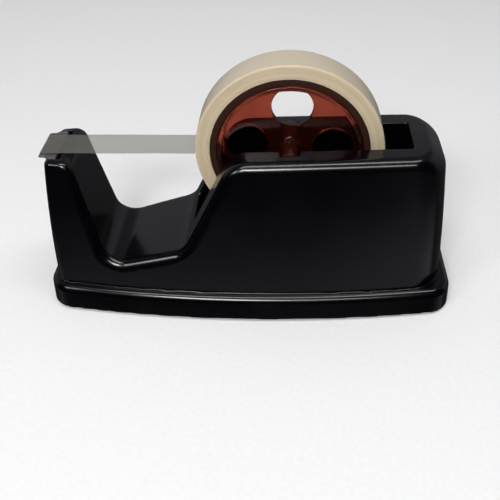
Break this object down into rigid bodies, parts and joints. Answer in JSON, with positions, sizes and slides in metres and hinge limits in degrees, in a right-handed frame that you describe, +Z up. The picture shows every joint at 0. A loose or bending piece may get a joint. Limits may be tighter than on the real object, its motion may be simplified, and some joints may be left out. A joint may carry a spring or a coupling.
{
  "type": "tape dispenser",
  "caption": "Weighted desktop tape dispenser: wide base, front post with toothed steel blade, rear tape well, lift-out four-hole hub with a roll of clear tape.",
  "frame": {"origin": "middle of the footprint, on the plane of the feet's undersides", "axes": "+X along the dispenser from the blade towards the tape well, +Y across it, +Z up"},
  "size_m": [0.226, 0.0804, 0.1395],
  "materials": {
    "black_plastic": "glossy moulded near-black plastic with a navy cast",
    "base_plastic": "satin black plastic",
    "cast_iron": "rough casting",
    "rubber": "matte rubber",
    "blade_steel": "stamped, brushed",
    "screw_steel": "zinc plated",
    "red_plastic": "translucent red-brown moulding",
    "cardboard": "brown paper tube",
    "clear_tape": "wound clear tape, creamy from the side",
    "tape_film": "single layer of clear film"
  },
  "bodies": {
    "dispenser": {"housing_shell": "black_plastic", "base_plate": "base_plastic", "ballast_front": "cast_iron", "ballast_middle": "cast_iron", "ballast_rear": "cast_iron", "foot_front_left": "rubber", "foot_front_right": "rubber", "foot_rear_left": "rubber", "foot_rear_right": "rubber", "base_screw_front_left": "screw_steel", "base_screw_front_right": "screw_steel", "base_screw_middle_left": "screw_steel", "base_screw_middle_right": "screw_steel", "base_screw_rear_left": "screw_steel", "base_screw_rear_right": "screw_steel", "cutter_blade": "blade_steel"},
    "tape_end": {"tape_strip": "tape_film"},
    "spool": {"hub_wheel": "red_plastic", "tape_core": "cardboard", "tape_roll": "clear_tape"}
  },
  "joints": [
    {"name": "spool_lift", "type": "slide", "parent": "dispenser", "child": "tape_end", "axis": [0, 0, 1], "range_m": [0, 0.06]},
    {"name": "spool_spin", "type": "hinge", "parent": "tape_end", "child": "spool", "pos_m": [0.02275, 0, 0.0905], "axis": [0, 1, 0], "continuous": true}
  ]
}
